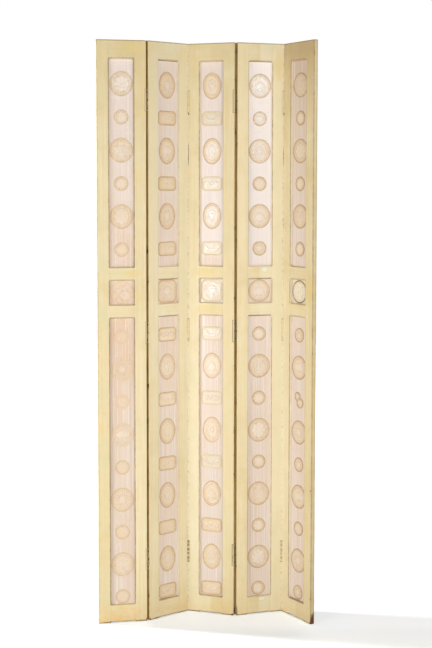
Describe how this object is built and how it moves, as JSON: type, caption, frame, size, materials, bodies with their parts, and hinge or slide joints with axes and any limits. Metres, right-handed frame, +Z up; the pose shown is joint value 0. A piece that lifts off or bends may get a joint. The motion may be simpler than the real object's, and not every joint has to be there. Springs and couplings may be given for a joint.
{
  "type": "folding screen",
  "caption": "Free-standing folding room screen of tall narrow hinged leaves, painted frames with recessed lacquered boards and pasted oval and round medallions",
  "frame": {"origin": "on the floor, at the middle of the box that the standing screen fills", "axes": "+Z is up, along the leaves; the pictured faces look towards -Y; +X is to the right seen from the front"},
  "size_m": [0.895, 0.1956, 2.4],
  "materials": {
    "frame_paint": "aged cream oil paint on softwood, satin, rubbed and chipped",
    "lacquered_ground": "pale lilac-pink paper glued to thin board under glossy lacquer",
    "pasted_paper": "cut-out printed paper pictures under glossy lacquer",
    "painted_hinge": "iron butt hinges painted over with the frame",
    "screw_steel": "slotted countersunk screws, dulled",
    "pin_steel": "loose hinge pins with button ends, dulled"
  },
  "bodies": {
    "leaf_1": {"leaf_1_left_stile": "frame_paint", "leaf_1_right_stile": "frame_paint", "leaf_1_top_rail": "frame_paint", "leaf_1_mid_rails": "frame_paint", "leaf_1_bottom_rail": "frame_paint", "leaf_1_upper_board": "lacquered_ground", "leaf_1_square_board": "lacquered_ground", "leaf_1_lower_board": "lacquered_ground", "leaf_1_medallions": "pasted_paper", "leaf_1_hinge_plates": "painted_hinge", "leaf_1_hinge_screws": "screw_steel"},
    "leaf_2": {"leaf_2_left_stile": "frame_paint", "leaf_2_right_stile": "frame_paint", "leaf_2_top_rail": "frame_paint", "leaf_2_mid_rails": "frame_paint", "leaf_2_bottom_rail": "frame_paint", "leaf_2_upper_board": "lacquered_ground", "leaf_2_square_board": "lacquered_ground", "leaf_2_lower_board": "lacquered_ground", "leaf_2_medallions": "pasted_paper", "leaf_2_hinge_plates": "painted_hinge", "leaf_2_hinge_screws": "screw_steel", "fold_1_2_hinge_pins": "pin_steel"},
    "leaf_3": {"leaf_3_left_stile": "frame_paint", "leaf_3_right_stile": "frame_paint", "leaf_3_top_rail": "frame_paint", "leaf_3_mid_rails": "frame_paint", "leaf_3_bottom_rail": "frame_paint", "leaf_3_upper_board": "lacquered_ground", "leaf_3_square_board": "lacquered_ground", "leaf_3_lower_board": "lacquered_ground", "leaf_3_medallions": "pasted_paper", "leaf_3_hinge_plates": "painted_hinge", "leaf_3_hinge_screws": "screw_steel", "fold_2_3_hinge_pins": "pin_steel", "fold_3_4_hinge_pins": "pin_steel"},
    "leaf_4": {"leaf_4_left_stile": "frame_paint", "leaf_4_right_stile": "frame_paint", "leaf_4_top_rail": "frame_paint", "leaf_4_mid_rails": "frame_paint", "leaf_4_bottom_rail": "frame_paint", "leaf_4_upper_board": "lacquered_ground", "leaf_4_square_board": "lacquered_ground", "leaf_4_lower_board": "lacquered_ground", "leaf_4_medallions": "pasted_paper", "leaf_4_hinge_plates": "painted_hinge", "leaf_4_hinge_screws": "screw_steel", "fold_4_5_hinge_pins": "pin_steel"},
    "leaf_5": {"leaf_5_left_stile": "frame_paint", "leaf_5_right_stile": "frame_paint", "leaf_5_top_rail": "frame_paint", "leaf_5_mid_rails": "frame_paint", "leaf_5_bottom_rail": "frame_paint", "leaf_5_upper_board": "lacquered_ground", "leaf_5_square_board": "lacquered_ground", "leaf_5_lower_board": "lacquered_ground", "leaf_5_medallions": "pasted_paper", "leaf_5_hinge_plates": "painted_hinge", "leaf_5_hinge_screws": "screw_steel"}
  },
  "joints": [
    {"name": "fold_1_2", "type": "hinge", "parent": "leaf_2", "child": "leaf_1", "pos_m": [-0.24884, -0.02604, 1.2], "axis": [0, 0, 1], "range_deg": [-152.5, 27.5]},
    {"name": "fold_2_3", "type": "hinge", "parent": "leaf_3", "child": "leaf_2", "pos_m": [-0.07548, 0.07955, 1.2], "axis": [0, 0, -1], "range_deg": [-124, 56]},
    {"name": "fold_3_4", "type": "hinge", "parent": "leaf_3", "child": "leaf_4", "pos_m": [0.12203, 0.0327, 1.2], "axis": [0, 0, -1], "range_deg": [-144.5, 35.5]},
    {"name": "fold_4_5", "type": "hinge", "parent": "leaf_4", "child": "leaf_5", "pos_m": [0.32139, 0.07089, 1.2], "axis": [0, 0, 1], "range_deg": [-106.5, 73.5]}
  ],
  "couplings": [
    {"joint": "fold_2_3", "follows": "fold_3_4", "ratio": 0.8581}
  ]
}
